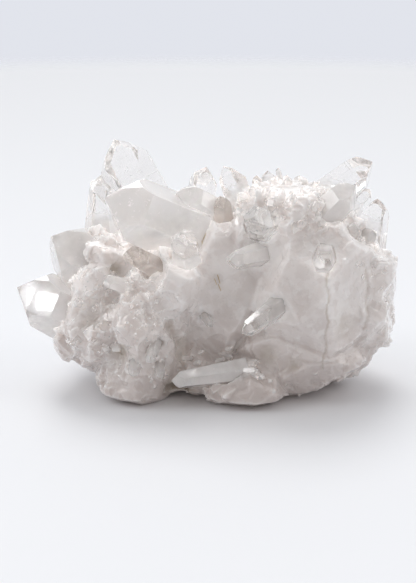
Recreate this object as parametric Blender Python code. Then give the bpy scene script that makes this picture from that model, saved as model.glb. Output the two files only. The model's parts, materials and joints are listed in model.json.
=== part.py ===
"""Quartz crystal cluster: terminated crystals standing in sockets of a milky quartz matrix.

The cluster rests on the flat under its middle, the plane z = 0. +X runs along its longest side, -Y is
its front and +Z is up. The tables give places and sizes in millimetres about a point under the front
middle; the finished cluster is then slid so that the middle of its underside's box is the origin.
"""

import math
import random
from dataclasses import dataclass

import bmesh
import bpy
from mathutils import Matrix, Vector

MM = 0.001
GAP = 0.3  # clearance between a crystal and the socket or the neighbour beside it

PRISM_SIDES = 6
FACE_SLOPE = math.radians(51.8)  # between the long axis and the normal of an end face of quartz
SMALL_FACE_SETBACK = 0.22  # how far every second end face stands back, as a share of the radius
SETBACK_SPREAD = 0.10  # how much one end face differs from the next, as a share of the radius
SIDE_SPREAD = 0.07  # how much one prism side differs from the next, as a share of the radius

BLOCK_PLANES = 26  # broken faces on one block of the matrix
BLOCK_NEAREST = 0.86  # nearest that a broken face comes, as a share of the block's radius there
PLANE_JITTER = 0.30  # how far a broken face's direction strays from an even spread
GOLDEN_ANGLE = math.pi * (3.0 - math.sqrt(5.0))
ROUGH_SIZE = 4.0  # side of the cube that a solid is cut from, as a share of its longest size
FLOOR_SIDE = 300.0  # a cube well wider than the cluster
FLAT_ANGLE = math.radians(0.05)  # faces closer than this to one plane become one face

# Finishes: colour, roughness.
FINISHES = {
    "clear": ((0.93, 0.93, 0.94), 0.05),
    "milky": ((0.82, 0.79, 0.77), 0.25),
    "smoky": ((0.60, 0.54, 0.50), 0.10),
    "matrix": ((0.76, 0.72, 0.70), 0.45),
}


@dataclass(frozen=True)
class Crystal:
    """One hexagonal crystal: tip is its apex, root the middle of its hidden end."""

    name: str
    tip: tuple
    root: tuple
    radius: float  # from the long axis to a prism side
    roll: float = 0.0  # degrees about the long axis
    flat: float = 1.0  # thickness as a share of the width
    taper: float = 2.0  # degrees that the prism sides lean in towards the tip
    lean: tuple = (0.0, 0.0)  # how far the apex stands off the axis, as a share of the radius
    finish: str = "clear"


@dataclass(frozen=True)
class Block:
    """One convex, broken block of the matrix: an ellipsoid's faceted hull."""

    centre: tuple
    radii: tuple
    seed: int
    faces: tuple = ()  # more broken faces, each its direction and its distance from the centre


CRYSTALS = (
    # Left and back left.
    Crystal("tall_clear_crystal", (-24.9, 11, 62.8), (-13.2, 10, 39), 6.4, roll=8, lean=(-0.1, 0)),
    Crystal("left_column_crystal", (-28.2, 10, 53.5), (-28, 8, 34), 3.4, roll=20, taper=6),
    Crystal("spur_crystal", (-30.6, 6.5, 53), (-25, 5, 48.5), 1.6, roll=10),
    Crystal("barrel_crystal", (-25.4, -11.5, 52.6), (-4.5, 0, 40.4), 7.5, roll=12, taper=1, finish="milky"),
    Crystal("twin_crystal", (-7.6, -4, 52), (3, 3.5, 43.5), 4.3, roll=28, finish="milky"),
    Crystal("stubby_crystal", (-6.3, -17.5, 45.2), (-5.4, -11, 36.5), 3.2, roll=12, taper=3),
    Crystal("smoky_tip_crystal", (-20.2, -18.5, 40.6), (-12.5, -11, 33.5), 2.4, roll=25, finish="smoky"),
    Crystal("left_great_crystal", (-48.9, -8, 27.6), (-31, 4, 14), 6.5, roll=5, finish="milky"),
    Crystal("left_shoulder_crystal", (-40.6, -3, 40.2), (-28, 3, 27.5), 6.8, roll=22, taper=3, finish="milky"),
    # Middle.
    Crystal("centre_clear_crystal", (-0.4, 9, 56.2), (-4.2, 8, 36), 3.4, roll=30),
    Crystal("centre_smoky_crystal", (3.5, -2.5, 51), (4.8, -1.5, 37), 2.4, roll=0, finish="smoky"),
    Crystal("blade_crystal", (5.4, 5, 57), (12.4, 5, 38), 3.5, roll=30, lean=(-0.7, 0)),
    Crystal("facing_crystal", (12, -22.5, 49.8), (13.8, -8, 44.2), 3.4, roll=15, lean=(-0.1, 0.2)),
    # Upper right mound.
    Crystal("brown_tip_crystal", (13, 7.5, 54.2), (14, 6, 44), 1.2, finish="smoky"),
    Crystal("mound_block_crystal", (15.9, 10, 55), (18, 8.5, 44), 2.1, roll=15, lean=(-0.3, 0)),
    Crystal("needle_crystal", (18.5, 4, 57), (21, 3, 44), 0.75, taper=1),
    Crystal("mound_crystal_1", (21.2, 1, 55.2), (21.8, 1.5, 45), 0.95, roll=20),
    Crystal("mound_crystal_2", (24, 5.5, 54.6), (22.6, 4.5, 44), 1.1, roll=10),
    Crystal("mound_crystal_3", (26.6, 1.5, 53.4), (24.6, 1, 43), 1.2, roll=40),
    # Right.
    Crystal("right_tall_crystal", (43.2, 6, 58.2), (26.4, 5, 45), 4.3, roll=4),
    Crystal("right_milky_crystal", (37.8, -6, 54.4), (27, -4, 42.5), 3.9, roll=18, taper=4, finish="milky"),
    Crystal("right_small_crystal", (42.6, 3, 51.4), (35, 0, 43), 1.9, roll=20),
    Crystal("far_right_crystal", (45.2, 9, 47.6), (41.8, 7, 24), 3.8, roll=30, lean=(-0.1, 0)),
    Crystal("right_glassy_crystal_1", (37.6, -10.5, 45.6), (36.5, -3, 36), 1.7, roll=15),
    Crystal("right_glassy_crystal_2", (42.6, -6, 42.8), (38, 2, 33), 2.0, roll=35),
    # Front.
    Crystal("front_block_crystal", (28.4, -23.5, 37.6), (30, -13, 38.4), 2.2, roll=25, lean=(0.2, 0)),
    Crystal("front_right_crystal", (8.8, -24.5, 21), (20.4, -15.5, 27), 2.1, roll=20),
    Crystal("front_chip_crystal", (1.2, -17.5, 20.4), (-2.6, -9, 24), 1.0, roll=10),
    Crystal("front_left_crystal_1", (-18.8, -24.6, 9.6), (-16.4, -15, 17.2), 1.5, roll=12),
    Crystal("front_left_crystal_2", (-14.2, -25, 13.4), (-13, -16, 17.4), 1.3, roll=30),
    Crystal("front_left_crystal_3", (-11.4, -23.6, 8.8), (-13.4, -15, 12.2), 1.2, roll=5),
    Crystal("bottom_blade_crystal", (-8.8, -21.5, 7.2), (10, -17.5, 8.8), 2.9, roll=0, flat=0.7, finish="milky"),
    Crystal("ledge_crystal", (5.8, -21.5, 38.8), (14.5, -9, 37.6), 2.3, roll=10, finish="milky"),
    Crystal("left_ledge_crystal", (-25.6, -18.5, 33), (-19, -9, 28), 1.7, roll=25, finish="milky"),
    # Back.
    Crystal("back_great_crystal", (-6, 34, 38.5), (-3, 15, 22), 5.4, roll=12),
    Crystal("back_left_crystal_1", (-31, 28, 33.5), (-18, 13, 23), 4.6, roll=20, finish="milky"),
    Crystal("back_left_crystal_2", (-40, 17, 24), (-25, 11, 17), 3.6, roll=8),
    Crystal("back_middle_crystal_1", (8, 25, 44.5), (8, 13, 30), 3.0, roll=25),
    Crystal("back_middle_crystal_2", (-15.5, 26, 42), (-12, 14.5, 30), 2.4, roll=5),
    Crystal("back_right_crystal_1", (23, 30, 43), (20, 15, 27), 4.4, roll=30),
    Crystal("back_right_crystal_2", (38, 27, 33), (28.5, 13, 23), 3.8, roll=14, finish="milky"),
    Crystal("back_right_crystal_3", (46, 21, 21.5), (32, 10, 15), 2.8, roll=18),
    Crystal("back_low_crystal_1", (12, 36, 24), (9, 18, 17), 3.2, roll=22),
    Crystal("back_low_crystal_2", (-16, 34, 18.5), (-10, 18, 13), 3.5, roll=7, finish="milky"),
    Crystal("back_smoky_crystal", (28, 34, 15), (21, 18, 11), 2.4, roll=28, finish="smoky"),
)

BLOCKS = (
    # Left lobe.
    Block((-27, 2, 28), (12.5, 14, 12.5), 11),
    Block((-26.5, -2, 16), (13, 15, 13), 12, ((-0.6, -0.3, -0.75, 12.5),)),
    Block((-16.5, -8, 16), (12, 14, 15.5), 13, ((0.55, -0.83, 0.1, 12.0), (0.97, 0.0, -0.22, 10.0))),
    Block((-17.5, -9, 5.5), (12, 14, 9.5), 14, ((-0.6, -0.4, -0.7, 10.5),)),
    # Middle.
    Block((-11, -3, 28), (13.5, 16, 13.5), 15),
    Block((4, 0, 23), (14, 14.5, 24), 16),
    Block((-4, -9, 5), (9, 9.5, 8.5), 27),
    Block((9.5, -12.5, 3.5), (13, 12.5, 8), 17, ((-0.1, -0.97, 0.22, 10.8), (-0.9, 0, -0.43, 9.0))),
    # Right lobe.
    Block((20, 0, 40), (14.5, 15, 14), 18),
    Block((29.5, -4, 27), (18.5, 20, 19), 19, ((-0.32, -0.92, 0.22, 17.5), (0.62, -0.77, 0.12, 15.0))),
    Block((37.5, 0, 21), (12.5, 17, 15), 20),
    Block((33, -2, 38), (10, 11, 9), 21),
    Block((25, -7, 10), (19.5, 14, 11.5), 22, ((0.45, -0.4, -0.8, 10.5),)),
    # Back.
    Block((2, 12, 22), (26, 18, 19), 23),
    Block((-19, 11, 23), (17, 16, 17), 24),
    Block((26, 11, 22), (19, 17, 18), 25),
    Block((4, 9, 6), (24, 18, 10), 26),
)


def clear_scene():
    """Removes every object that the scene starts with."""
    for obj in list(bpy.data.objects):
        bpy.data.objects.remove(obj, do_unlink=True)


def finish_material(finish):
    """The Principled material of a finish, made the first time it is asked for."""
    name = "quartz_" + finish
    if name in bpy.data.materials:
        return bpy.data.materials[name]
    colour, roughness = FINISHES[finish]
    material = bpy.data.materials.new(name)
    material.use_nodes = True
    shader = material.node_tree.nodes["Principled BSDF"]
    shader.inputs["Base Color"].default_value = (*colour, 1.0)
    shader.inputs["Roughness"].default_value = roughness
    shader.inputs["Metallic"].default_value = 0.0
    return material


def add_object(name, mesh, finish=None):
    """Puts a mesh into the scene as an object, with its finish if it is a visible part."""
    obj = bpy.data.objects.new(name, mesh)
    bpy.context.scene.collection.objects.link(obj)
    if finish:
        mesh.materials.append(finish_material(finish))
    else:
        obj.hide_render = True
        obj.display_type = "WIRE"
    return obj


def cut_face(solid, point, normal):
    """Cuts away what lies beyond a plane and closes the solid with one flat face there."""
    geometry = solid.verts[:] + solid.edges[:] + solid.faces[:]
    bmesh.ops.bisect_plane(solid, geom=geometry, plane_co=point, plane_no=normal, clear_outer=True)
    rim = [edge for edge in solid.edges if edge.is_boundary]
    if rim:
        bmesh.ops.holes_fill(solid, edges=rim)


def mesh_from(solid, name, placement):
    """Turns a millimetre solid into a mesh in metres, placed in the scene's frame."""
    bmesh.ops.transform(solid, matrix=Matrix.Scale(MM, 4) @ placement, verts=solid.verts)
    bmesh.ops.recalc_face_normals(solid, faces=solid.faces)
    mesh = bpy.data.meshes.new(name)
    solid.to_mesh(mesh)
    solid.free()
    return mesh


def crystal_mesh(crystal, grow=0.0):
    """A six-sided prism with a six-faced end, grown outwards by a clearance where it is a cutter.

    It is made along +Z, with its root at z = 0 and its apex at z = length, and then turned into place.
    """
    draw = random.Random(crystal.name)
    axis = Vector(crystal.tip) - Vector(crystal.root)
    length = axis.length
    solid = bmesh.new()
    bmesh.ops.create_cube(solid, size=ROUGH_SIZE * length)
    cut_face(solid, Vector((0, 0, -grow)), Vector((0, 0, -1)))
    lean = math.radians(crystal.taper)
    apex = Vector((crystal.lean[0], crystal.lean[1] * crystal.flat, 0)) * crystal.radius
    apex.z = length
    for side in range(PRISM_SIDES):
        angle = math.tau * side / PRISM_SIDES
        out = Vector((math.cos(angle), math.sin(angle) * crystal.flat, 0))
        reach = crystal.radius * (1.0 + draw.uniform(-SIDE_SPREAD, SIDE_SPREAD))
        normal = Vector((math.cos(angle), math.sin(angle), math.tan(lean))).normalized()
        cut_face(solid, out * reach + Vector((0, 0, 0.5 * length)) + normal * grow, normal)
    for side in range(PRISM_SIDES):
        angle = math.tau * side / PRISM_SIDES
        slope = Vector((math.cos(angle), math.sin(angle), 0)) * math.sin(FACE_SLOPE)
        slope.z = math.cos(FACE_SLOPE)
        setback = crystal.radius * (SMALL_FACE_SETBACK * (side % 2) + draw.uniform(0, SETBACK_SPREAD))
        cut_face(solid, apex + slope * (setback + grow), slope)
    turn = axis.to_track_quat("Z", "Y").to_matrix().to_4x4()
    roll = Matrix.Rotation(math.radians(crystal.roll), 4, "Z")
    return mesh_from(solid, crystal.name, Matrix.Translation(crystal.root) @ turn @ roll)


def block_mesh(block, name):
    """A convex block whose broken faces are spread evenly round an ellipsoid, each a little astray."""
    draw = random.Random(block.seed)
    solid = bmesh.new()
    bmesh.ops.create_cube(solid, size=ROUGH_SIZE * max(block.radii))
    for index in range(BLOCK_PLANES):
        height = 1.0 - (2.0 * index + 1.0) / BLOCK_PLANES
        ring = math.sqrt(1.0 - height * height)
        turn = GOLDEN_ANGLE * index + block.seed
        even = Vector((ring * math.cos(turn), ring * math.sin(turn), height))
        stray = Vector([draw.uniform(-PLANE_JITTER, PLANE_JITTER) for _ in range(3)])
        normal = (even + stray).normalized()
        reach = Vector([share * radius for share, radius in zip(normal, block.radii)]).length
        cut_face(solid, normal * reach * draw.uniform(BLOCK_NEAREST, 1.0), normal)
    for *direction, reach in block.faces:
        normal = Vector(direction).normalized()
        cut_face(solid, normal * reach, normal)
    return mesh_from(solid, name, Matrix.Translation(block.centre))


def floor_mesh():
    """The space below z = 0, which leaves the cluster its flat underside."""
    solid = bmesh.new()
    bmesh.ops.create_cube(solid, size=FLOOR_SIDE)
    return mesh_from(solid, "below", Matrix.Translation((0, 0, -0.5 * FLOOR_SIDE)))


def add_boolean(obj, other, operation):
    """Adds a Boolean with another object."""
    modifier = obj.modifiers.new(other.name, "BOOLEAN")
    modifier.operation = operation
    modifier.object = other


def apply_booleans(obj):
    """Replaces an object's mesh with what its Booleans leave, less any crumb that came loose."""
    bpy.context.view_layer.update()
    graph = bpy.context.evaluated_depsgraph_get()
    solid = bmesh.new()
    solid.from_mesh(obj.evaluated_get(graph).to_mesh())
    obj.modifiers.clear()
    drop_crumbs(solid)
    bmesh.ops.dissolve_limit(solid, angle_limit=FLAT_ANGLE, verts=solid.verts, edges=solid.edges)
    solid.to_mesh(obj.data)
    solid.free()


def drop_crumbs(solid):
    """Keeps the island with the most vertices."""
    islands = []
    unseen = set(solid.verts)
    while unseen:
        island = set()
        reached = [next(iter(unseen))]
        while reached:
            vertex = reached.pop()
            if vertex in island:
                continue
            island.add(vertex)
            reached.extend(edge.other_vert(vertex) for edge in vertex.link_edges)
        unseen -= island
        islands.append(island)
    islands.sort(key=len)
    for island in islands[:-1]:
        bmesh.ops.delete(solid, geom=list(island), context="VERTS")


def boxes_meet(one, other):
    """Whether the boxes round two meshes overlap."""
    for axis in range(3):
        ones = [vertex.co[axis] for vertex in one.vertices]
        others = [vertex.co[axis] for vertex in other.vertices]
        if max(ones) < min(others) or max(others) < min(ones):
            return False
    return True


def build_matrix():
    """The milky mass: its blocks grown together and cut flat below."""
    matrix = add_object("quartz_matrix", block_mesh(BLOCKS[0], "quartz_matrix"), "matrix")
    for index, block in enumerate(BLOCKS[1:], start=2):
        name = f"block_{index}"
        add_boolean(matrix, add_object(name, block_mesh(block, name)), "UNION")
    add_boolean(matrix, add_object("below", floor_mesh()), "DIFFERENCE")
    return matrix


def build_crystals(matrix):
    """Every crystal, trimmed clear of the ones before it, each in its own socket of the matrix."""
    cutters = []
    for crystal in CRYSTALS:
        obj = add_object(crystal.name, crystal_mesh(crystal), crystal.finish)
        cutter = add_object("cutter_" + crystal.name, crystal_mesh(crystal, GAP))
        for earlier in cutters:
            if boxes_meet(obj.data, earlier.data):
                add_boolean(obj, earlier, "DIFFERENCE")
        if obj.modifiers:
            apply_booleans(obj)
        add_boolean(matrix, cutter, "DIFFERENCE")
        cutters.append(cutter)
    apply_booleans(matrix)


def stand_on_origin():
    """Slides every object so that the middle of the cluster's box is over the origin."""
    points = [point for obj in bpy.data.objects if not obj.hide_render for point in obj.data.vertices]
    middle = Vector((0, 0, 0))
    for axis in range(2):
        places = [point.co[axis] for point in points]
        middle[axis] = 0.5 * (min(places) + max(places))
    for obj in bpy.data.objects:
        obj.location = -middle


def main():
    """Builds the cluster."""
    clear_scene()
    build_crystals(build_matrix())
    stand_on_origin()


main()
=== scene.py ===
"""Looks of a natural quartz crystal cluster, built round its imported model.

Every piece is worked out from the model's own nodes: the milky matrix is remeshed and broken into
facets, each crystal gets growth steps, worn edges and a cloudy root, and small druse is grown on top.
Lengths are metres unless a name ends in _mm.
"""

import sys
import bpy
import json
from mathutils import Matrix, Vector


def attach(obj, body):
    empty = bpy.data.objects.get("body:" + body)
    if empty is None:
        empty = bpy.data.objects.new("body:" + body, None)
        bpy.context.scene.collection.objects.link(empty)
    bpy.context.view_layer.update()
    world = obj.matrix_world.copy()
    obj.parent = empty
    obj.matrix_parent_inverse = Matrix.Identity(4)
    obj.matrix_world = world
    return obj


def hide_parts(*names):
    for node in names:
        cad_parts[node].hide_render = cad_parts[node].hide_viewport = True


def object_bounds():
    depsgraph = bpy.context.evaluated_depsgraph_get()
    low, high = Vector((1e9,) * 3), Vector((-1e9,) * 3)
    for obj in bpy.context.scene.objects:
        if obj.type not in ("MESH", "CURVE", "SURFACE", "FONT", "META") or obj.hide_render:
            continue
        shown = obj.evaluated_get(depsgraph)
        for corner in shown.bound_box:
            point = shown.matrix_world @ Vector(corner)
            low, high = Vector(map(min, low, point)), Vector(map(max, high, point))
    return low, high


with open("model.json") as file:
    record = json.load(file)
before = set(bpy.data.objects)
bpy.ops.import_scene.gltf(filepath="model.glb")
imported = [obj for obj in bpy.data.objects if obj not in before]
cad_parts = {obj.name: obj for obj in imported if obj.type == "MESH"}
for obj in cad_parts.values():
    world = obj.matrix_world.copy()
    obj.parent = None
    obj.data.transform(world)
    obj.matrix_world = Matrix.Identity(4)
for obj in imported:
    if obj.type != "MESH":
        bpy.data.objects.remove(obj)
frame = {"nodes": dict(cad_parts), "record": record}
cad_bounds = [list(corner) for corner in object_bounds()]

import json
import logging
import math
import random
from dataclasses import dataclass
from enum import Enum

import bmesh
import bpy
import numpy as np
from bmesh.types import BMesh
from bpy.types import ID, Material, Mesh, Node, NodeSocket, NodeTree, Object
from mathutils import Euler, Vector, kdtree, noise
from mathutils.bvhtree import BVHTree

log = logging.getLogger("quartz")

Pair = tuple[float, float]
Triple = tuple[float, float, float]

MM = 0.001
BODY = "root"
MATRIX_NODE = "quartz_matrix"
QUARTZ_IOR = 1.544
PRISM_SIDES = 6
# A Mix node keeps its colour sockets at these places.
MIX_SHARE, MIX_FIRST, MIX_SECOND, MIX_RESULT = 0, 6, 7, 2


class Clarity(Enum):
    """How clear a crystal is: each value is the record's material slot for it."""

    CLEAR = "clear_quartz"
    MILKY = "milky_quartz"
    SMOKY = "smoky_quartz"


class Nodes:
    """A node tree, with short ways to add nodes and join them."""

    def __init__(self, tree: NodeTree) -> None:
        """Keeps the tree that the nodes go into."""
        self.tree = tree

    def add(self, kind: str, **inputs: object) -> Node:
        """Adds a node and sets or links its inputs.

        Args:
            kind: the node's type, without its ShaderNode prefix.
            inputs: values or sockets, by input name with _ for a space.

        Returns:
            The new node.
        """
        node = self.new(kind)
        for key, value in inputs.items():
            self.put(node.inputs[key.replace("_", " ")], value)
        return node

    def new(self, kind: str) -> Node:
        """Adds a node, named without its ShaderNode prefix."""
        return self.tree.nodes.new("ShaderNode" + kind)

    def put(self, socket: NodeSocket, value: object) -> None:
        """Links a socket to another, or sets its value."""
        if isinstance(value, NodeSocket):
            self.tree.links.new(value, socket)
        else:
            socket.default_value = value

    def math(self, operation: str, first: object, second: object = 0.0, clamp: bool = False) -> object:
        """Adds a Math node.

        Args:
            operation: its operation, such as MULTIPLY.
            first: its first value or socket.
            second: its second value or socket.
            clamp: whether the result stays between 0 and 1.

        Returns:
            The result.
        """
        node = self.new("Math")
        node.operation = operation
        node.use_clamp = clamp
        self.put(node.inputs[0], first)
        self.put(node.inputs[1], second)
        return node.outputs["Value"]

    def scaled(self, value: object, low: float, high: float, to_low: float, to_high: float) -> object:
        """Maps one range of a value smoothly onto another.

        Args:
            value: the socket to map.
            low: where the range starts.
            high: where it ends.
            to_low: the result at the start.
            to_high: the result at the end.

        Returns:
            The result.
        """
        node = self.new("MapRange")
        node.interpolation_type = "SMOOTHSTEP"
        for socket, given in zip(node.inputs, (value, low, high, to_low, to_high)):
            self.put(socket, given)
        return node.outputs["Result"]

    def mixed(self, share: object, first: object, second: object) -> object:
        """Mixes two colours.

        Args:
            share: how much of the second shows, from 0 to 1.
            first: a colour or socket.
            second: a colour or socket.

        Returns:
            The mixed colour.
        """
        node = self.new("Mix")
        node.data_type = "RGBA"
        self.put(node.inputs[MIX_SHARE], share)
        self.put(node.inputs[MIX_FIRST], first)
        self.put(node.inputs[MIX_SECOND], second)
        return node.outputs[MIX_RESULT]


class Shader(Nodes):
    """A material's nodes."""

    def __init__(self, name: str) -> None:
        """Makes an empty material of this name, with an output."""
        self.material = bpy.data.materials.new(name)
        self.material.use_nodes = True
        super().__init__(self.material.node_tree)
        self.tree.nodes.clear()
        self.output = self.new("OutputMaterial")

    def attribute(self, name: str) -> object:
        """Reads a number kept on the mesh's points."""
        node = self.new("Attribute")
        node.attribute_name = name
        return node.outputs["Fac"]

    def place(self) -> object:
        """The point's place in the object."""
        return self.new("TexCoord").outputs["Object"]

    def grain(self, size: float, detail: float, roughness: float = 0.55) -> object:
        """A noise pattern.

        Args:
            size: the size of its blotches in metres.
            detail: how many finer layers it has.
            roughness: how strong the finer layers are.

        Returns:
            The pattern, from 0 to 1.
        """
        node = self.add("TexNoise", Vector=self.place(), Scale=1.0 / size, Detail=detail, Roughness=roughness)
        return node.outputs["Fac"]

    def bump(self, height: object, distance: float, strength: float, under: object = None) -> object:
        """Adds a bump.

        Args:
            height: the height's socket, from 0 to 1.
            distance: how far a height of 1 stands out, in metres.
            strength: how strong the bump is.
            under: the normal of a coarser bump below this one.

        Returns:
            The normal.
        """
        node = self.add("Bump", Height=height, Distance=distance, Strength=strength)
        if under is not None:
            self.put(node.inputs["Normal"], under)
        return node.outputs["Normal"]

    def finish(self, **inputs: object) -> Material:
        """Ends the tree in a Principled shader.

        Args:
            inputs: the shader's inputs, by name with _ for a space.

        Returns:
            The finished material.
        """
        shader = self.add("BsdfPrincipled", **inputs)
        self.put(self.output.inputs["Surface"], shader.outputs["BSDF"])
        return self.material


@dataclass(frozen=True)
class CrystalFinish:
    """Quartz of one clarity: cloudy where it leaves the matrix, glassier with height above it, with a painted
    glow inside its cloudy root.
    """

    name: str
    clear_tint: Triple
    cloud_tint: Triple
    root_clearness: float
    tip_clearness: float
    clear_height_mm: float
    roughness: float
    glow: float
    # Emission colour of the painted glow on the inner faces of the cloudy root, standing in for light let
    # through the quartz.
    painted_root_glow: Triple = (0.06, 0.059, 0.058)
    glow_radius: Triple = (1.0, 0.98, 0.965)
    cloud_size: float = 5.0 * MM
    cloud_drift: float = 0.8
    wisp_size: float = 1.6 * MM
    wisp_share: float = 0.25
    buried_mm: float = 1.2
    # The painted glow keeps this share at the foot and is full at full_light_height: painted shade lower
    # down.
    low_light: float = 0.45
    full_light_height: float = 30.0 * MM
    lines_per_mm: float = 5.0
    pit_size: float = 0.5 * MM
    bump_height: float = 0.02 * MM
    rough_spread: float = 0.06

    def material(self) -> Material:
        """Builds the material.

        Returns:
            The material.
        """
        shader = Shader(self.name)
        above = shader.attribute("above_mm")
        inside = shader.new("NewGeometry").outputs["Backfacing"]
        clouds = shader.grain(self.cloud_size, 4.0)
        drift = shader.math("SUBTRACT", clouds, 0.5)
        drift = shader.math("MULTIPLY", drift, self.cloud_drift * self.clear_height_mm)
        height = shader.math("ADD", above, drift)
        clearness = shader.scaled(height, 0.0, self.clear_height_mm, self.root_clearness, self.tip_clearness)
        wisps = shader.scaled(shader.grain(self.wisp_size, 5.0, 0.7), 0.58, 0.78, 0.0, self.wisp_share)
        clearness = shader.math("SUBTRACT", clearness, wisps, clamp=True)
        tint = shader.mixed(clearness, (*self.cloud_tint, 1.0), (*self.clear_tint, 1.0))
        buried = shader.math("MULTIPLY", inside, shader.scaled(above, 0.0, self.buried_mm, 1.0, 0.0))
        clearness = shader.math("SUBTRACT", clearness, buried, clamp=True)
        # Painted glow: the inner faces of the cloudy root emit light.
        cloudy = shader.math("MULTIPLY", inside, shader.math("SUBTRACT", 1.0, clearness))
        height = shader.add("SeparateXYZ", Vector=shader.place()).outputs["Z"]
        # Painted shade: the painted glow is weaker lower down.
        reach = shader.scaled(height, 0.0, self.full_light_height, self.low_light, 1.0)
        along = shader.math("MULTIPLY", shader.attribute("along_mm"), self.lines_per_mm)
        across = shader.add("CombineXYZ", X=along).outputs["Vector"]
        lines = shader.add("TexNoise", Vector=across, Scale=1.0, Detail=2.0)
        normal = shader.bump(lines.outputs["Fac"], self.bump_height, 0.25)
        normal = shader.bump(shader.grain(self.pit_size, 2.0), self.bump_height, 0.15, normal)
        rough = shader.scaled(clouds, 0.3, 0.8, self.roughness, self.roughness + self.rough_spread)
        return shader.finish(
            Base_Color=tint,
            Roughness=rough,
            IOR=QUARTZ_IOR,
            Transmission_Weight=clearness,
            Subsurface_Weight=shader.math("SUBTRACT", 1.0, inside),
            Subsurface_Radius=self.glow_radius,
            Subsurface_Scale=self.glow,
            Coat_Weight=1.0,
            Coat_Roughness=0.02,
            Emission_Color=(*self.painted_root_glow, 1.0),
            Emission_Strength=shader.math("MULTIPLY", cloudy, reach),
            Normal=normal,
        )


@dataclass(frozen=True)
class MatrixFinish:
    """Milky massive quartz: deep soft light, pale pinkish grey, stained beige in its hollows, with a painted
    glow in its crevices and painted shade low down.
    """

    name: str = "milky_matrix"
    pale: Triple = (0.92, 0.89, 0.875)
    # Grey that the quartz's own clouds and facet tone mix towards, and that paints the shade low down.
    grey: Triple = (0.67, 0.61, 0.585)
    white: Triple = (0.95, 0.94, 0.93)
    # Beige stain colour, which also paints the shadow in the cavity at the foot.
    stain: Triple = (0.42, 0.35, 0.24)
    # Strength of the painted glow in the crevices, standing in for light let through the milky quartz.
    painted_crevice_glow: float = 0.15
    # How strongly the painted shade greys the lower part.
    low_shade: float = 0.9
    cloud_shade: float = 0.30
    facet_shade: float = 0.40
    cloud_size: float = 14.0 * MM
    mottle_size: float = 3.0 * MM
    veil_size: float = 7.0 * MM
    veil_share: float = 0.6
    fine_size: float = 0.5 * MM
    glow: float = 3.0 * MM
    glow_radius: Triple = (1.0, 0.97, 0.95)

    def material(self) -> Material:
        """Builds the material.

        Returns:
            The material.
        """
        shader = Shader(self.name)
        mottle = shader.grain(self.mottle_size, 5.0, 0.65)
        fine = shader.grain(self.fine_size, 3.0, 0.6)
        normal = shader.bump(mottle, 0.20 * MM, 0.35)
        normal = shader.bump(fine, 0.04 * MM, 0.35, normal)
        return shader.finish(
            Base_Color=self.tint(shader, mottle),
            Roughness=shader.scaled(mottle, 0.3, 0.7, 0.22, 0.45),
            IOR=QUARTZ_IOR,
            Subsurface_Weight=1.0,
            Subsurface_Radius=self.glow_radius,
            Subsurface_Scale=self.glow,
            Coat_Weight=1.0,
            Coat_Roughness=0.05,
            # Painted glow: pale emission in the crevices that the deep attribute marks.
            Emission_Color=(*self.pale, 1.0),
            Emission_Strength=shader.math("MULTIPLY", shader.attribute("deep"), self.painted_crevice_glow),
            Normal=normal,
        )

    def tint(self, shader: Shader, mottle: object) -> object:
        """Works out the colour: greyer low down as painted shade, with clouds, white veils and ridges, and
        beige stains; the deep stain at the foot is painted shadow.

        Args:
            shader: the material's nodes.
            mottle: the pattern that breaks up the stains.

        Returns:
            The colour.
        """
        clouds = shader.scaled(shader.grain(self.cloud_size, 4.0), 0.35, 0.7, 0.0, self.cloud_shade)
        # Painted shade: the lower part mixes towards grey; the clouds and facet tone are the quartz's own.
        low = shader.math("MULTIPLY", shader.attribute("low"), self.low_shade)
        tone = shader.math("MULTIPLY", shader.attribute("tone"), self.facet_shade)
        shade = shader.math("ADD", shader.math("ADD", low, clouds), tone, clamp=True)
        tint = shader.mixed(shade, (*self.pale, 1.0), (*self.grey, 1.0))
        veils = shader.scaled(shader.grain(self.veil_size, 6.0, 0.7), 0.56, 0.72, 0.0, self.veil_share)
        tint = shader.mixed(veils, tint, (*self.white, 1.0))
        # Beige stains in the hollows; the deep one at the foot is painted shadow.
        spots = shader.scaled(mottle, 0.3, 0.6, 0.35, 1.0)
        spots = shader.math("MULTIPLY", shader.attribute("hollow"), spots, clamp=True)
        tint = shader.mixed(spots, tint, (*self.stain, 1.0))
        return shader.mixed(shader.attribute("ridge"), tint, (*self.white, 1.0))


@dataclass(frozen=True)
class NeedleFinish:
    """Golden brown needles grown into the quartz."""

    name: str = "golden_needle"
    dark: Triple = (0.42, 0.28, 0.10)
    light: Triple = (0.62, 0.47, 0.22)
    streak_size: float = 0.8 * MM
    roughness: float = 0.35

    def material(self) -> Material:
        """Builds the material.

        Returns:
            The material.
        """
        shader = Shader(self.name)
        streaks = shader.grain(self.streak_size, 2.0)
        tint = shader.mixed(streaks, (*self.dark, 1.0), (*self.light, 1.0))
        return shader.finish(Base_Color=tint, Roughness=self.roughness)


@dataclass(frozen=True)
class FloorFinish:
    """A plain pale floor that fades out at its rim."""

    name: str = "pale_floor"
    colour: Triple = (0.81, 0.815, 0.835)
    roughness: float = 0.6
    fade_from: float = 0.61
    fade_to: float = 0.70

    def material(self) -> Material:
        """Builds the material.

        Returns:
            The material.
        """
        shader = Shader(self.name)
        reach = shader.add("VectorMath", Vector=shader.place())
        reach.operation = "LENGTH"
        solid = shader.scaled(reach.outputs["Value"], self.fade_from, self.fade_to, 1.0, 0.0)
        return shader.finish(Base_Color=(*self.colour, 1.0), Roughness=self.roughness, Alpha=solid)


CLEAR_TINT = (0.985, 0.975, 0.968)
CLOUD_TINT = (0.82, 0.795, 0.78)
SMOKY_TINT = (0.80, 0.75, 0.71)
SMOKY_CLOUD = (0.74, 0.69, 0.655)

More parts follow.
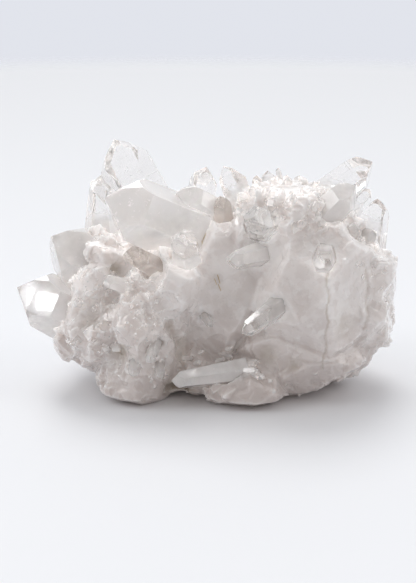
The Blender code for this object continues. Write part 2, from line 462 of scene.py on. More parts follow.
FINISHES = {
    Clarity.CLEAR: CrystalFinish("clear_crystal", CLEAR_TINT, CLOUD_TINT, 0.45, 0.97, 5.0, 0.015, 2.0 * MM),
    Clarity.MILKY: CrystalFinish("milky_crystal", CLEAR_TINT, CLOUD_TINT, 0.30, 0.80, 10.0, 0.03, 3.0 * MM),
    Clarity.SMOKY: CrystalFinish("smoky_crystal", SMOKY_TINT, SMOKY_CLOUD, 0.40, 0.90, 5.0, 0.03, 2.0 * MM),
}
# The druse has a lighter cloud and a stronger painted glow in its root.
DRUSE_FINISH = CrystalFinish(
    "druse", CLEAR_TINT, (0.90, 0.88, 0.87), 0.25, 0.85, 3.0, 0.02, 0.5 * MM, painted_root_glow=(0.20, 0.195, 0.192)
)


def keep_numbers(mesh: Mesh, name: str, values: np.ndarray) -> None:
    """Keeps one number for each point of a mesh.

    Args:
        mesh: the mesh.
        name: the attribute's name.
        values: one number for each point.
    """
    layer = mesh.attributes.new(name, "FLOAT", "POINT")
    layer.data.foreach_set("value", np.asarray(values, np.float32))


def points_of(mesh: Mesh) -> np.ndarray:
    """A mesh's points, one in each row."""
    places = np.empty(len(mesh.vertices) * 3, np.float32)
    mesh.vertices.foreach_get("co", places)
    return places.reshape(-1, 3).astype(np.float64)


def normals_of(mesh: Mesh) -> np.ndarray:
    """A mesh's point normals, one in each row."""
    normals = np.empty(len(mesh.vertices) * 3, np.float32)
    mesh.vertex_normals.foreach_get("vector", normals)
    return normals.reshape(-1, 3).astype(np.float64)


def set_points(mesh: Mesh, places: np.ndarray) -> None:
    """Moves a mesh's points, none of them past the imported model's box.

    Args:
        mesh: the mesh.
        places: the new places, one in each row.
    """
    inside = np.clip(places, cad_bounds[0], cad_bounds[1])
    mesh.vertices.foreach_set("co", inside.astype(np.float32).ravel())
    mesh.update()


def heights_above(shell: BVHTree, places: np.ndarray) -> np.ndarray:
    """How far points stand above the matrix, in millimetres, and 0 inside it.

    Args:
        shell: the matrix's surface.
        places: the points, one in each row.

    Returns:
        One height for each point.
    """
    heights = []
    for place in places:
        found, normal, _, distance = shell.find_nearest(Vector(place))
        outside = (Vector(place) - found).dot(normal) > 0
        heights.append(distance / MM if outside else 0.0)
    return np.array(heights)


def add_piece(name: str, mesh: Mesh, slot: str, finish: Material) -> Object:
    """Puts a visible piece into the scene, on the cluster's one body.

    Args:
        name: the piece's name.
        mesh: its mesh.
        slot: the record's material slot; not used.
        finish: its material.

    Returns:
        The piece.
    """
    piece = bpy.data.objects.new(name, mesh)
    bpy.context.scene.collection.objects.link(piece)
    mesh.materials.clear()
    mesh.materials.append(finish)
    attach(piece, BODY)
    log.info("%s: %d faces", name, len(mesh.polygons))
    return piece


def taken_from(solid: BMesh, name: str) -> Mesh:
    """Turns a finished bmesh into a mesh and frees it."""
    mesh = bpy.data.meshes.new(name)
    solid.to_mesh(mesh)
    solid.free()
    return mesh


@dataclass
class GrownCrystal:
    """One crystal with growth steps, worn edges and a root that reaches into the matrix."""

    node: str
    clarity: Clarity
    edge: float
    worn_from: float = 0.5 * MM
    worn_segments: int = 4
    fine_edge_share: float = 0.06
    step_spacing: float = 3.4 * MM
    spacing_range: Pair = (0.5, 1.6)
    step_depth: float = 0.006
    depth_range: Pair = (-0.5, 1.0)
    step_half_width: float = 0.04 * MM
    first_step: float = 0.15
    last_step: float = 0.12
    root_spread: float = 0.45 * MM
    compared_faces: int = 8
    least_cross: float = 0.4
    most_lean: float = 0.16
    core_height: float = 0.35

    def build(self, shell: BVHTree, finish: Material) -> Object:
        """Builds the crystal and shows it in place of its node.

        Args:
            shell: the matrix's surface.
            finish: the material of its clarity.

        Returns:
            The piece.
        """
        solid = self.facets()
        axis = self.long_axis(solid)
        heights = [point.co.dot(axis) for point in solid.verts]
        root, tip = min(heights), max(heights)
        self.round_edges(solid)
        self.grow_steps(solid, axis, root, tip)
        mesh = taken_from(solid, self.node)
        places = points_of(mesh)
        along = places @ np.array(axis)
        keep_numbers(mesh, "above_mm", heights_above(shell, places))
        keep_numbers(mesh, "along_mm", along / MM + len(self.node))
        set_points(mesh, places)
        piece = add_piece(self.node + "_grown", mesh, self.clarity.value, finish)
        piece.visible_shadow = False
        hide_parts(self.node)
        return piece

    def facets(self) -> BMesh:
        """The node's solid, with each flat face in one piece."""
        solid = bmesh.new()
        solid.from_mesh(frame["nodes"][self.node].data)
        bmesh.ops.remove_doubles(solid, verts=solid.verts, dist=0.002 * MM)
        bmesh.ops.dissolve_limit(solid, angle_limit=math.radians(0.5), verts=solid.verts, edges=solid.edges)
        return solid

    def long_axis(self, solid: BMesh) -> Vector:
        """Finds the direction that the prism sides share, pointing out of the cluster.

        Args:
            solid: the crystal's faces.

        Returns:
            The unit vector towards the tip.
        """
        faces = sorted(solid.faces, key=lambda face: -face.calc_area())[: self.compared_faces]
        best, best_area = Vector((0, 0, 1)), -1.0
        for index, first in enumerate(faces):
            for second in faces[index + 1 :]:
                across = first.normal.cross(second.normal)
                if across.length < self.least_cross:
                    continue
                across.normalize()
                sides = [face for face in solid.faces if abs(face.normal.dot(across)) < self.most_lean]
                area = sum(face.calc_area() for face in sides)
                if area > best_area:
                    best, best_area = across, area
        middle = sum((point.co for point in solid.verts), Vector()) / len(solid.verts)
        core = Vector((0.0, 0.0, self.core_height * cad_bounds[1][2]))
        return best if best.dot(middle - core) > 0 else -best

    def round_edges(self, solid: BMesh) -> None:
        """Gives every edge a worn band: a fine flat one, or a wide round one."""
        worn = self.edge > self.worn_from
        spans = np.ptp([tuple(point.co) for point in solid.verts], axis=0)
        size = self.edge if worn else min(self.edge, self.fine_edge_share * float(min(spans)))
        bmesh.ops.bevel(
            solid,
            geom=list(solid.edges),
            offset=size,
            segments=self.worn_segments if worn else 1,
            profile=0.5,
            affect="EDGES",
            clamp_overlap=True,
        )

    def grow_steps(self, solid: BMesh, axis: Vector, root: float, tip: float) -> None:
        """Cuts rings across the crystal and draws it in a little at each, as quartz grows.

        Args:
            solid: the crystal's faces.
            axis: the direction of its long axis.
            root: the height of its lowest point along the axis.
            tip: the height of its highest point along the axis.
        """
        draw = random.Random(self.node)
        middle = sum((point.co for point in solid.verts), Vector()) / len(solid.verts)
        length = tip - root
        heights = []
        height = root + self.first_step * length
        while height < tip - self.last_step * length:
            heights.append(height)
            height += self.step_spacing * draw.uniform(*self.spacing_range)
        for height in heights:
            for offset in (-self.step_half_width, self.step_half_width):
                geometry = solid.verts[:] + solid.edges[:] + solid.faces[:]
                place = middle + axis * (height + offset - middle.dot(axis))
                bmesh.ops.bisect_plane(solid, geom=geometry, plane_co=place, plane_no=axis)
        depths = [self.step_depth * draw.uniform(*self.depth_range) for _ in heights]
        for point in solid.verts:
            climb = point.co.dot(axis)
            drawn = sum(depth for depth, height in zip(depths, heights) if climb > height)
            centre = middle + axis * (climb - middle.dot(axis))
            outward = point.co - centre
            spread = self.root_spread * max(0.0, 1.0 - (climb - root) / length)
            point.co = centre + outward * (1.0 - max(drawn, 0.0)) + outward.normalized() * spread


@dataclass
class SmallPoint:
    """One small six-sided crystal that stands on the matrix."""

    place: Vector
    way: Vector
    radius: float
    length: float
    sunk: float = 0.7
    root_width: float = 1.05
    unevenness: float = 0.10
    shoulder_jitter: float = 0.15
    lean: float = 0.35

    def add_to(self, solid: BMesh, draw: random.Random) -> None:
        """Adds the crystal to a mesh that has above_mm and along_mm layers.

        Args:
            solid: the mesh.
            draw: the random draws.
        """
        side = self.way.orthogonal().normalized()
        other = self.way.cross(side)
        turn = draw.uniform(0, math.tau)
        root = self.place - self.way * self.sunk * self.radius
        shoulder = max(self.length - self.radius * draw.uniform(0.9, 1.4), 0.2 * self.length)
        flat = draw.uniform(0.65, 1.0)
        corners = []
        for height, width in ((0.0, self.root_width), (shoulder, 1.0)):
            for corner in range(PRISM_SIDES):
                angle = turn + math.tau * corner / PRISM_SIDES
                spread = self.radius * width * (1.0 + self.unevenness * math.sin(2.3 * corner + turn))
                out = side * math.cos(angle) + other * (flat * math.sin(angle))
                wave = math.cos(3.1 * corner + turn) if height else 0.0
                jitter = self.shoulder_jitter * self.radius * wave
                corners.append((root + self.way * (height + jitter) + out * spread, height))
        lean = side * draw.uniform(-self.lean, self.lean)
        lean += other * draw.uniform(-self.lean, self.lean) * flat
        corners.append((root + self.way * self.length + lean * self.radius, self.length))
        points = []
        for place, height in corners:
            point = solid.verts.new(place)
            point[solid.verts.layers.float["above_mm"]] = height / MM
            point[solid.verts.layers.float["along_mm"]] = (height + self.place.x) / MM
            points.append(point)
        low, high, apex = points[:PRISM_SIDES], points[PRISM_SIDES:-1], points[-1]
        solid.faces.new(list(reversed(low)))
        for corner in range(PRISM_SIDES):
            following = (corner + 1) % PRISM_SIDES
            solid.faces.new((low[corner], low[following], high[following], high[corner]))
            solid.faces.new((high[corner], high[following], apex))


def empty_solid() -> BMesh:
    """An empty mesh with the layers that a crystal's finish reads."""
    solid = bmesh.new()
    solid.verts.layers.float.new("above_mm")
    solid.verts.layers.float.new("along_mm")
    return solid


@dataclass
class Growth:
    """Small crystals that stand over one stretch of the matrix, much the same way."""

    name: str
    centre_mm: Triple
    reach_mm: Triple
    count: int
    radius_mm: Pair
    slimness: Pair
    way: Triple
    seed: int
    share: float = 0.4
    tilt: float = 0.3

    def scatter(self, solid: BMesh, places: np.ndarray, normals: np.ndarray) -> None:
        """Adds the crystals to a mesh.

        Args:
            solid: the mesh that they are added to.
            places: the matrix's points, one in each row.
            normals: its point normals, one in each row.
        """
        draw = random.Random(self.seed)
        offset = (places / MM - np.array(self.centre_mm)) / np.array(self.reach_mm)
        near = np.flatnonzero((offset**2).sum(axis=1) < 1.0)
        common = Vector(self.way).normalized()
        for _ in range(self.count):
            point = int(near[draw.randrange(len(near))])
            way = Vector(normals[point]) * (1.0 - self.share) + common * self.share
            way += Vector([draw.gauss(0, self.tilt) for _ in range(3)])
            radius = draw.uniform(*self.radius_mm) * MM
            length = radius * draw.uniform(*self.slimness)
            SmallPoint(Vector(places[point]), way.normalized(), radius, length).add_to(solid, draw)

    def build(self, matrix: Object, slot: str, finish: Material) -> Object:
        """Grows the crystals as a piece of their own.

        Args:
            matrix: the matrix that they grow on.
            slot: the record's material slot, passed on to add_piece.
            finish: their material.

        Returns:
            The piece.
        """
        solid = empty_solid()
        self.scatter(solid, points_of(matrix.data), normals_of(matrix.data))
        mesh = taken_from(solid, self.name)
        set_points(mesh, points_of(mesh))
        piece = add_piece(self.name, mesh, slot, finish)
        piece.visible_shadow = False
        return piece


@dataclass(frozen=True)
class StainAndShadeHollow:
    """A shallow, beige brown hollow in the matrix; most are stains, and the deep one at the foot is painted
    shadow.
    """

    place_mm: Triple
    reach_mm: float
    depth_mm: float
    stain: float


@dataclass(frozen=True)
class Crease:
    """A narrow groove down the front of the matrix, where two of its masses meet."""

    points_mm: tuple[Pair, ...]
    width_mm: float
    depth_mm: float
    stain: float
    front_mm: float = -8.0
    sway_mm: float = 0.3
    ripple_mm: float = 0.08

    def shares(self, places: np.ndarray) -> np.ndarray:
        """How near each point lies to the groove.

        Args:
            places: points, one in each row.

        Returns:
            One share for each point, 1 at its middle and 0 away from it.
        """
        x, y, z = (places[:, axis] / MM for axis in range(3))
        wave = self.sway_mm * np.sin(0.9 * z + 9.0 * self.depth_mm) + self.ripple_mm * np.sin(3.7 * z)
        flat = np.stack([x + wave, z], axis=1)
        away = np.full(len(places), np.inf)
        for first, second in zip(self.points_mm, self.points_mm[1:]):
            start = np.array(first)
            run = np.array(second) - start
            part = np.clip((flat - start) @ run / (run @ run), 0.0, 1.0)
            away = np.minimum(away, np.linalg.norm(flat - start - part[:, None] * run, axis=1))
        return np.where(y < self.front_mm, np.exp(-((away / self.width_mm) ** 2)), 0.0)


@dataclass(frozen=True)
class FacetCut:
    """How far apart facets are, how much they lean, and how far they may move a point."""

    spacing: float
    tilt: float
    limit: float
    seed: int
    broad_turns: int = 36
    compared: int = 9
    least_slope: float = 0.45
    far_share: float = 0.9


@dataclass(frozen=True)
class DepthScale:
    """How a depth below the surrounding surface becomes a share: a negative span measures ridges."""

    turns: int
    start_mm: float
    span_mm: float


@dataclass
class MilkyMatrix:
    """The milky mass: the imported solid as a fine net, broken into facets that meet at ridges."""

    node: str = MATRIX_NODE
    voxel: float = 0.30 * MM
    broad_cut: FacetCut = FacetCut(4.6 * MM, 0.20, 0.8 * MM, 6)
    fine_cut: FacetCut = FacetCut(1.9 * MM, 0.30, 0.16 * MM, 7)
    roll_height: float = 0.05 * MM
    roll_size: float = 2.6 * MM
    undercut_height: float = 2.2 * MM
    undercut_depth: float = 3.0 * MM
    hollow_scale: DepthScale = DepthScale(45, 0.5, 1.0)
    hollow_stain: float = 0.15
    # deep_scale marks the crevices that take the painted glow.
    deep_scale: DepthScale = DepthScale(30, 0.0, 0.9)
    ridge_scale: DepthScale = DepthScale(6, 0.05, -0.15)
    ridge_share: float = 0.5
    # Height over which the painted shade fades out.
    low_height: float = 25.0 * MM
    hollows: tuple[StainAndShadeHollow, ...] = ()
    creases: tuple[Crease, ...] = ()
    chunks: tuple[Growth, ...] = ()

    def build(self, finish: Material) -> Object:
        """Builds the matrix and shows it in place of its node.

        Args:
            finish: its material.

        Returns:
            The piece.
        """
        mesh = self.remeshed(frame["nodes"][self.node].data.copy())
        self.cut_facets(mesh, self.broad_cut, self.roughness_at(points_of(mesh)))
        mesh = self.with_chunks(mesh)
        rough = self.roughness_at(points_of(mesh))
        tone = self.cut_facets(mesh, self.fine_cut, rough)
        self.roll_surface(mesh)
        stains = self.dent_hollows(mesh)
        self.cut_under(mesh)
        # The hollow attribute carries the stains and the painted shadow at the foot.
        hollow = self.hollow_stain * self.depths(mesh, self.hollow_scale) + stains
        keep_numbers(mesh, "hollow", np.clip(hollow, 0.0, 1.0))
        # The deep attribute carries the painted crevice glow, kept off the stained spots.
        keep_numbers(mesh, "deep", self.depths(mesh, self.deep_scale) * (1.0 - stains))
        keep_numbers(mesh, "ridge", self.ridge_share * rough * self.depths(mesh, self.ridge_scale))
        keep_numbers(mesh, "tone", tone)
        # The low attribute carries the painted shade lower down.
        keep_numbers(mesh, "low", np.clip(1.0 - points_of(mesh)[:, 2] / self.low_height, 0.0, 1.0))
        piece = add_piece("matrix_body", mesh, "quartz_matrix", finish)
        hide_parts(self.node)
        return piece

    def with_chunks(self, mesh: Mesh) -> Mesh:
        """Grows the half buried chunks on the mass and makes one skin of them all.

        Args:
            mesh: the mass.

        Returns:
            The net with the chunks in it.
        """
        solid = bmesh.new()
        solid.from_mesh(mesh)
        solid.verts.layers.float.new("above_mm")
        solid.verts.layers.float.new("along_mm")
        places = points_of(mesh)
        normals = self.broad_normals(mesh, 12)
        for growth in self.chunks:
            growth.scatter(solid, places, normals)
        return self.remeshed(taken_from(solid, "joined"))

    def dent_hollows(self, mesh: Mesh) -> np.ndarray:
        """Presses the stained hollows, the painted shadow at the foot among them, into the surface.

        Args:
            mesh: the mesh to move.

        Returns:
            Each point's stain, painted shadow included, from 0 to 1.
        """
        places = points_of(mesh)
        normals = self.broad_normals(mesh, 20)
        stains = np.zeros(len(places))
        lowering = np.zeros(len(places))
        for hollow in self.hollows:
            wanted = np.array(hollow.place_mm) * MM
            centre = places[np.argmin(np.linalg.norm(places - wanted, axis=1))]
            share = np.exp(-((np.linalg.norm(places - centre, axis=1) / MM / hollow.reach_mm) ** 2))
            stains = np.maximum(stains, share * hollow.stain)
            lowering = np.maximum(lowering, share * hollow.depth_mm)
        for crease in self.creases:
            share = crease.shares(places)
            stains = np.maximum(stains, share * crease.stain)
            lowering = np.maximum(lowering, share * crease.depth_mm)
        places -= normals * (lowering * MM)[:, None]
        set_points(mesh, places)
        return stains

    def cut_under(self, mesh: Mesh) -> None:
        """Draws the mass in towards its foot, so that its lower edge overhangs a little."""
        places = points_of(mesh)
        share = np.clip(1.0 - places[:, 2] / self.undercut_height, 0.0, 1.0)
        out = np.linalg.norm(places[:, :2], axis=1)
        inward = 1.0 - share * self.undercut_depth / np.maximum(out, self.undercut_depth * 2.0)
        places[:, :2] *= inward[:, None]
        places[places[:, 2] < 0.35 * self.voxel, 2] = 0.0
        set_points(mesh, places)

    def remeshed(self, source: Mesh) -> Mesh:
        """Turns crossing solids into one even net of small faces.

        Args:
            source: their mesh.

        Returns:
            The net.
        """
        holder = bpy.data.objects.new("matrix_source", source)
        bpy.context.scene.collection.objects.link(holder)
        remesh = holder.modifiers.new("net", "REMESH")
        remesh.mode = "VOXEL"
        remesh.voxel_size = self.voxel
        graph = bpy.context.evaluated_depsgraph_get()
        mesh = bpy.data.meshes.new_from_object(holder.evaluated_get(graph))
        bpy.data.objects.remove(holder, do_unlink=True)
        return mesh

    def roughness_at(self, places: np.ndarray) -> np.ndarray:
        """How finely broken the surface is: rough on the left, smooth on the right front and in the valley.

        Args:
            places: points, one in each row.

        Returns:
            One share for each point, from 0 to 1.
        """
        x, y, z = (places[:, axis] / MM for axis in range(3))
        left = 0.9 / (1.0 + np.exp((x + 6.0) / 3.0))
        left *= 1.0 - 0.9 * np.exp(-(((x + 13.0) / 5.0) ** 2) - ((z - 12.0) / 9.0) ** 2)
        top = 1.0 / (1.0 + np.exp((44.0 - z) / 2.5))
        behind = 1.0 / (1.0 + np.exp((2.0 - y) / 4.0))
        edge = 1.0 / (1.0 + np.exp((41.0 - x) / 2.0))
        foot = 0.6 / (1.0 + np.exp((z - 9.0) / 2.0))
        return np.clip(0.15 + np.maximum.reduce([left, top, 0.7 * behind, 0.8 * edge, foot]), 0.0, 1.0)

    def cut_facets(self, mesh: Mesh, cut: FacetCut, weights: np.ndarray) -> np.ndarray:
        """Cuts the surface down to flat facets that meet at ridges.

        Args:
            mesh: the mesh to cut.
            cut: how coarse the facets are.
            weights: how much each point moves, from 0 to 1.

        Returns:
            Each point's tone from 0 to 1, the same all over a facet.
        """
        draw = np.random.default_rng(cut.seed)
        places = points_of(mesh)
        normals = self.broad_normals(mesh, cut.broad_turns)
        area = sum(face.area for face in mesh.polygons)
        chosen = draw.choice(len(places), int(area / cut.spacing**2), replace=False)
        facing = normals[chosen] + cut.tilt * draw.normal(size=(len(chosen), 3))
        facing /= np.linalg.norm(facing, axis=1)[:, None]
        tree = kdtree.KDTree(len(chosen))
        for index, point in enumerate(chosen):
            tree.insert(places[point], index)
        tree.balance()
        found = [tree.find_n(place, cut.compared) for place in places]
        near = np.array([[one[1] for one in row] for row in found])
        away = np.array([[one[2] for one in row] for row in found])
        tones = draw.random(len(chosen))
        tone = tones[near[:, 0]]
        lift = np.full(len(places), cut.spacing)
        for column in range(near.shape[1]):
            own = facing[near[:, column]]
            slope = np.einsum("ij,ij->i", normals, own)
            reach = np.einsum("ij,ij->i", places[chosen][near[:, column]] - places, own)
            steep = slope <= cut.least_slope
            height = np.where(steep, cut.spacing, reach / np.maximum(slope, cut.least_slope))
            height += np.maximum(away[:, column] - cut.spacing, 0.0)
            tone = np.where(height < lift, tones[near[:, column]], tone)
            lift = np.minimum(lift, height)
        lift = np.where(lift > cut.far_share * cut.spacing, 0.0, lift)
        lift = np.clip(lift - np.median(lift), -cut.limit, cut.limit) * weights
        set_points(mesh, places + normals * lift[:, None])
        return tone

    def broad_normals(self, mesh: Mesh, turns: int) -> np.ndarray:
        """The way that the surface faces over a wider stretch round each point.

        Args:
            mesh: the mesh.
            turns: how many times each normal is averaged with its neighbours.

        Returns:
            The unit normals, one in each row.
        """
        normals = self.smoothed(mesh, normals_of(mesh), turns)
        return normals / np.maximum(np.linalg.norm(normals, axis=1), 1e-6)[:, None]

    def smoothed(self, mesh: Mesh, places: np.ndarray, turns: int) -> np.ndarray:
        """Averages each point with its neighbours.

        Args:
            mesh: the mesh, for who is whose neighbour.
            places: the points, one in each row.
            turns: how many times to average.

        Returns:
            The smoothed points.
        """
        ends = np.empty(len(mesh.edges) * 2, np.int32)
        mesh.edges.foreach_get("vertices", ends)
        ends = ends.reshape(-1, 2)
        counts = np.maximum(np.bincount(ends.ravel(), minlength=len(places)), 1).astype(float)
        smooth = places.copy()
        for _ in range(turns):
            total = np.zeros_like(smooth)
            for axis in range(3):
                total[:, axis] = np.bincount(ends[:, 0], smooth[ends[:, 1], axis], len(places))
                total[:, axis] += np.bincount(ends[:, 1], smooth[ends[:, 0], axis], len(places))
            smooth = total / counts[:, None]
        return smooth

    def roll_surface(self, mesh: Mesh) -> None:
        """Lets the surface rise and fall gently, so that no facet is dead flat."""
        places = points_of(mesh)
        lifts = np.array([noise.fractal(Vector(place) / self.roll_size, 0.9, 2.0, 4) for place in places])
        set_points(mesh, places + normals_of(mesh) * (lifts * self.roll_height)[:, None])

    def depths(self, mesh: Mesh, scale: DepthScale) -> np.ndarray:
        """How deep each point lies below the average of the surface round it.

        Args:
            mesh: the mesh.
            scale: how a depth becomes a share.

        Returns:
            One share for each point, from 0 to 1.
        """
        places = points_of(mesh)
        smooth = self.smoothed(mesh, places, scale.turns)
        depth = np.einsum("ij,ij->i", smooth - places, normals_of(mesh)) / MM
        depth *= math.copysign(1.0, scale.span_mm)
        return np.clip((depth - scale.start_mm) / abs(scale.span_mm), 0.0, 1.0)


@dataclass
class Needles:
    """Thin straight needles that lie in the quartz just under its surface."""

    name: str
    place_mm: Triple
    way: Triple
    count: int
    length_mm: float
    radius_mm: float
    spread_mm: float
    seed: int
    tilt: float = 0.02

    def build(self, shell: BVHTree, finish: Material) -> Object:
        """Builds the needles.

        Args:
            shell: the matrix's surface.
            finish: their material.

        Returns:
            The piece.
        """
        draw = random.Random(self.seed)
        solid = empty_solid()
        for _ in range(self.count):
            offset = Vector([draw.uniform(-1.0, 1.0) for _ in range(3)]) * self.spread_mm
            wanted = (Vector(self.place_mm) + offset) * MM
            place, normal = shell.find_nearest(wanted)[:2]
            way = Vector(self.way) + Vector([draw.gauss(0, self.tilt) for _ in range(3)])
            way = (way - normal * way.dot(normal)).normalized()
            length = self.length_mm * draw.uniform(0.5, 1.1) * MM
            start = place - way * length * 0.5
            radius = self.radius_mm * MM * draw.uniform(0.7, 1.2)
            SmallPoint(start, way, radius, length).add_to(solid, draw)
        mesh = taken_from(solid, self.name)
        set_points(mesh, points_of(mesh))
        return add_piece(self.name, mesh, Clarity.SMOKY.value, finish)


@dataclass(frozen=True)
class Lamp:
    """One soft lamp that points at the cluster."""

    name: str
    place: Triple
    size: Pair
    watts: float

    def hang(self, aim: Vector) -> None:
        """Hangs the lamp, pointing at the aim."""
        data = bpy.data.lights.new(self.name, "AREA")
        data.shape = "RECTANGLE"
        data.size, data.size_y = self.size
        data.energy = self.watts
        turn = (aim - Vector(self.place)).to_track_quat("-Z", "Y").to_euler()
        put_in_scene(self.name, data, Vector(self.place), turn)


LAMPS = (
    Lamp("window", (-0.084, -0.542, 0.312), (0.015, 0.012), 0.014),
    Lamp("side_left", (-0.46, -0.05, 0.33), (0.30, 0.30), 0.60),
    Lamp("side_right", (0.46, -0.05, 0.33), (0.30, 0.30), 0.46),
)


def put_in_scene(name: str, data: ID, place: Vector, turn: Euler) -> Object:
    """Puts a lamp, a camera or a mesh of the stage into the scene.

    Args:
        name: its name.
        data: its light, camera or mesh.
        place: where it goes.
        turn: its rotation.

    Returns:
        The object.
    """
    thing = bpy.data.objects.new(name, data)
    thing.location = place
    thing.rotation_euler = turn
    bpy.context.scene.collection.objects.link(thing)
    return thing


@dataclass
class Studio:
    """The plain pale floor, the soft light and the camera."""

    distance: float = 0.360
    pitch: float = math.radians(17.0)
    lens: float = 83.6
    sensor: float = 36.0
    aim_mm: Triple = (0.0, -5.5, 24.4)
    floor_radius: float = 0.72
    floor_gap: float = 0.02 * MM
    bright_way: Triple = (-0.15, 0.75, 0.62)
    wall: Triple = (0.76, 0.78, 0.84)
    bright: Triple = (0.86, 0.90, 0.94)
    dim: Triple = (0.36, 0.33, 0.315)
    glass_bright: Triple = (0.90, 0.92, 0.95)
    glass_dim: Triple = (0.43, 0.41, 0.40)
    sun_way: Triple = (0.0, 0.60, 0.80)
    sun_power: float = 1.05
    sun_spread: float = math.radians(30.0)

    def build(self) -> None:
        """Builds the stage round the cluster."""
        self.lay_floor()
        self.light_room()
        self.shine_overhead()
        for lamp in LAMPS:
            lamp.hang(Vector(self.aim_mm) * MM)
        self.place_camera()

    def lay_floor(self) -> None:
        """Lays a round floor under the cluster."""
        solid = bmesh.new()
        bmesh.ops.create_circle(solid, cap_ends=True, segments=96, radius=self.floor_radius)
        mesh = taken_from(solid, "floor")
        mesh.materials.append(FloorFinish().material())
        place = Vector((0.0, 0.0, cad_bounds[0][2] - self.floor_gap))
        floor = put_in_scene("floor", mesh, place, Euler())

    def light_room(self) -> None:
        """Lights the room: bright above and behind, dimmer in front, with a plain pale wall."""
        world = bpy.data.worlds.new("room")
        world.use_nodes = True
        room = Nodes(world.node_tree)
        facing = room.add("VectorMath", Vector=room.new("TexCoord").outputs["Generated"])
        facing.operation = "DOT_PRODUCT"
        facing.inputs[1].default_value = self.bright_way
        spread = room.scaled(facing.outputs["Value"], -0.2, 1.0, 0.0, 1.0)
        on_matt = room.mixed(spread, (*self.dim, 1.0), (*self.bright, 1.0))
        on_glass = room.mixed(spread, (*self.glass_dim, 1.0), (*self.glass_bright, 1.0))
        ray = room.new("LightPath").outputs
        light = room.mixed(ray["Is Diffuse Ray"], on_glass, on_matt)
        shown = room.mixed(ray["Is Camera Ray"], light, (*self.wall, 1.0))
        room.put(world.node_tree.nodes["Background"].inputs["Color"], shown)
        bpy.context.scene.world = world

    def shine_overhead(self) -> None:
        """Adds an even, soft light from above and behind."""
        data = bpy.data.lights.new("overhead", "SUN")
        data.energy = self.sun_power
        data.angle = self.sun_spread
        put_in_scene("overhead", data, Vector(), Vector(self.sun_way).to_track_quat("Z", "Y").to_euler())

    def place_camera(self) -> None:
        """Places the camera in front of the cluster, looking a little down on it."""
        data = bpy.data.cameras.new("camera")
        data.lens = self.lens
        data.sensor_width = self.sensor
        data.clip_start = 0.01
        data.clip_end = 10.0
        back = Vector((0.0, -math.cos(self.pitch), math.sin(self.pitch)))
        place = Vector(self.aim_mm) * MM + back * self.distance
        turn = (-back).to_track_quat("-Z", "Y").to_euler()
        bpy.context.scene.camera = put_in_scene("camera", data, place, turn)


FINE_EDGE = 0.10 * MM
WORN_EDGES = {
    "barrel_crystal": 1.8 * MM,
    "brown_tip_crystal": 0.8 * MM,
    "right_milky_crystal": 0.6 * MM,
}

HOLLOWS = (
    StainAndShadeHollow((-23.4, -15.5, 33.2), 1.7, 1.5, 0.8),
    StainAndShadeHollow((-29.6, -21.1, 22.1), 2.4, 1.6, 0.35),
    StainAndShadeHollow((-22.7, -24.7, 13.6), 2.2, 1.3, 0.5),
    StainAndShadeHollow((-25.5, -17.5, 27.0), 2.2, 1.2, 0.15),
    # Painted shadow: this deep, fully stained hollow stands for the shade in the cavity under the foot.
    StainAndShadeHollow((-7.0, -22.3, 2.6), 3.2, 6.0, 1.0),
    StainAndShadeHollow((14.5, -26.5, 13.5), 2.4, 0.9, 0.35),
    StainAndShadeHollow((22.0, -27.0, 11.0), 2.0, 0.7, 0.3),
    StainAndShadeHollow((33.0, -24.0, 22.0), 3.5, 0.5, 0.25),
)

CREASES = (
    Crease(((29.6, 39.2), (29.9, 29.1), (29.7, 17.1), (28.9, 10.2)), 0.32, 0.32, 0.28),
    Crease(((40.4, 34.4), (40.6, 27.0), (40.2, 19.6)), 0.4, 0.3, 0.15),
    Crease(((-9.5, 21.0), (-6.9, 14.0), (-6.7, 9.0), (-8.4, 3.5)), 0.9, 1.7, 0.25),
    Crease(((9.0, 8.5), (16.0, 8.0), (24.0, 12.5), (33.0, 12.0)), 0.5, 0.3, 0.08),
    Crease(((11.5, 24.0), (10.5, 17.0), (12.0, 11.0)), 0.4, 0.25, 0.08),
)

CHUNKS = (
    Growth(
        "left_chunks", (-26, -10, 26), (20, 18, 18), 45, (1.8, 4.8), (1.05, 1.5),
        (-0.5, -0.6, 0.5), 11, tilt=0.18
    ),
    Growth("mound_chunks", (20, -4, 47), (14, 14, 9), 50, (1.2, 2.6), (1.5, 2.4), (0.1, -0.3, 1.0), 12),
    Growth(
        "foot_chunks", (8, -16, 5), (38, 16, 8), 30, (1.4, 3.2), (1.1, 1.6),
        (0.0, -1.0, -0.1), 13, tilt=0.25
    ),
    Growth("back_chunks", (0, 22, 20), (46, 18, 26), 130, (1.6, 4.4), (1.2, 1.9), (0.0, 1.0, 0.5), 14),
    Growth(
        "right_chunks", (44, 0, 20), (12, 24, 22), 45, (1.2, 2.8), (1.1, 1.7),
        (1.0, 0.0, 0.1), 15, tilt=0.25
    ),
)

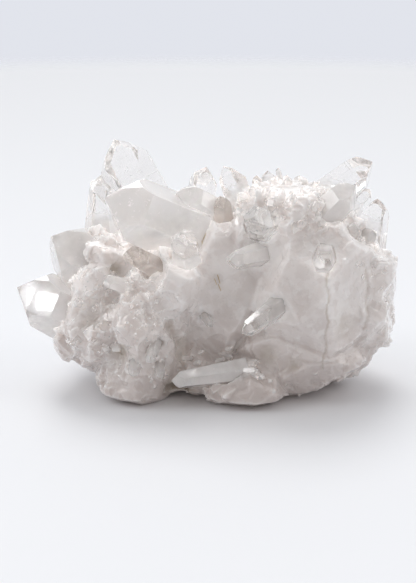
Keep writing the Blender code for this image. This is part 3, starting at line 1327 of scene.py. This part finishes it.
DRUSE = (
    Growth(
        "druse_mound", (20, -6, 49), (13, 11, 8), 130, (0.6, 1.7), (1.3, 2.8),
        (0.0, -0.4, 1.0), 31, tilt=0.35
    ),
    Growth(
        "druse_left", (-26, -14, 26), (18, 16, 18), 110, (0.25, 1.1), (1.0, 2.0),
        (-0.4, -0.6, 0.6), 32, 0.45
    ),
    Growth("druse_foot", (8, -18, 5), (36, 12, 7), 40, (0.3, 0.9), (1.0, 1.8), (0.0, -1.0, -0.1), 33),
    Growth("druse_back", (0, 22, 22), (46, 18, 26), 220, (0.4, 1.4), (1.2, 2.4), (0.0, 1.0, 0.5), 34),
    Growth("druse_right", (44, 0, 20), (12, 24, 22), 60, (0.3, 1.0), (1.0, 1.9), (1.0, 0.0, 0.1), 35),
    Growth(
        "points_left", (-26, -14, 26), (18, 14, 17), 60, (0.9, 2.6), (1.0, 1.6),
        (-0.4, -0.6, 0.6), 41, 0.5, 0.25
    ),
    Growth("points_mound", (22, -10, 46), (12, 9, 6), 45, (0.7, 1.9), (1.2, 2.2), (0.0, -0.5, 0.9), 42, 0.5),
    Growth(
        "points_right", (38, -14, 33), (9, 9, 9), 22, (0.8, 2.0), (1.0, 1.5),
        (0.4, -0.6, 0.5), 43, 0.5, 0.25
    ),
    Growth(
        "glints_upper", (-15, -22, 30), (6, 6, 3), 60, (0.15, 0.45), (1.0, 2.2),
        (0.0, -0.7, 0.7), 37, tilt=0.5
    ),
    Growth(
        "glints_middle", (-16, -24, 21), (6, 5, 5), 60, (0.15, 0.45), (1.0, 2.2),
        (0.0, -0.7, 0.7), 38, tilt=0.5
    ),
    Growth(
        "glints_side", (-27, -17, 29), (5, 6, 5), 50, (0.15, 0.4), (1.0, 2.0),
        (-0.3, -0.6, 0.6), 39, tilt=0.5
    ),
    Growth(
        "glints_low", (-14, -24, 11), (5, 5, 5), 40, (0.2, 0.6), (1.2, 3.0), (0.2, -0.7, 0.5), 40, tilt=0.6
    ),
    Growth(
        "foot_shards", (6, -22, 11), (14, 8, 5), 16, (0.5, 1.1), (3.0, 5.5),
        (0.85, -0.35, 0.25), 36, 0.85, 0.15
    ),
)

NEEDLES = (
    Needles("golden_needles", (2.9, -17.7, 30.9), (0.34, -0.2, -1.0), 3, 4.2, 0.11, 0.9, 43),
    Needles("dark_needles", (-0.4, -11.0, 40.5), (0.1, -0.1, 1.0), 7, 2.0, 0.12, 2.6, 42),
)

LIGHT_BOUNCES = {"max_bounces": 24, "transmission_bounces": 24, "diffuse_bounces": 10, "glossy_bounces": 8}


def clarities() -> dict[str, Clarity]:
    """The clarity of each crystal, by its node's material slot in the record."""
    slots = {part["node"]: part["material_slot"] for part in frame["record"]["subparts"]}
    return {node: Clarity(slots[node]) for node in sorted(frame["nodes"]) if node != MATRIX_NODE}


def write_sizes() -> None:
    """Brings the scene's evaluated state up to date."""
    bpy.context.view_layer.update()


def main() -> None:
    """Builds the matrix, the crystals, the druse and the stage."""
    logging.basicConfig(level=logging.INFO, format="%(message)s", stream=sys.stdout)
    bpy.context.scene.view_settings.view_transform = "Standard"
    for kind, most in LIGHT_BOUNCES.items():
        setattr(bpy.context.scene.cycles, kind, most)
    finishes = {clarity: finish.material() for clarity, finish in FINISHES.items()}
    milk = MatrixFinish().material()
    matrix = MilkyMatrix(hollows=HOLLOWS, creases=CREASES, chunks=CHUNKS).build(milk)
    shell = BVHTree.FromObject(matrix, bpy.context.evaluated_depsgraph_get())
    for node, clarity in clarities().items():
        GrownCrystal(node, clarity, WORN_EDGES.get(node, FINE_EDGE)).build(shell, finishes[clarity])
    druse = DRUSE_FINISH.material()
    for growth in DRUSE:
        growth.build(matrix, Clarity.CLEAR.value, druse)
    gold = NeedleFinish().material()
    for needles in NEEDLES:
        needles.build(shell, gold)
    Studio().build()
    write_sizes()


if __name__ == "__main__":
    main()
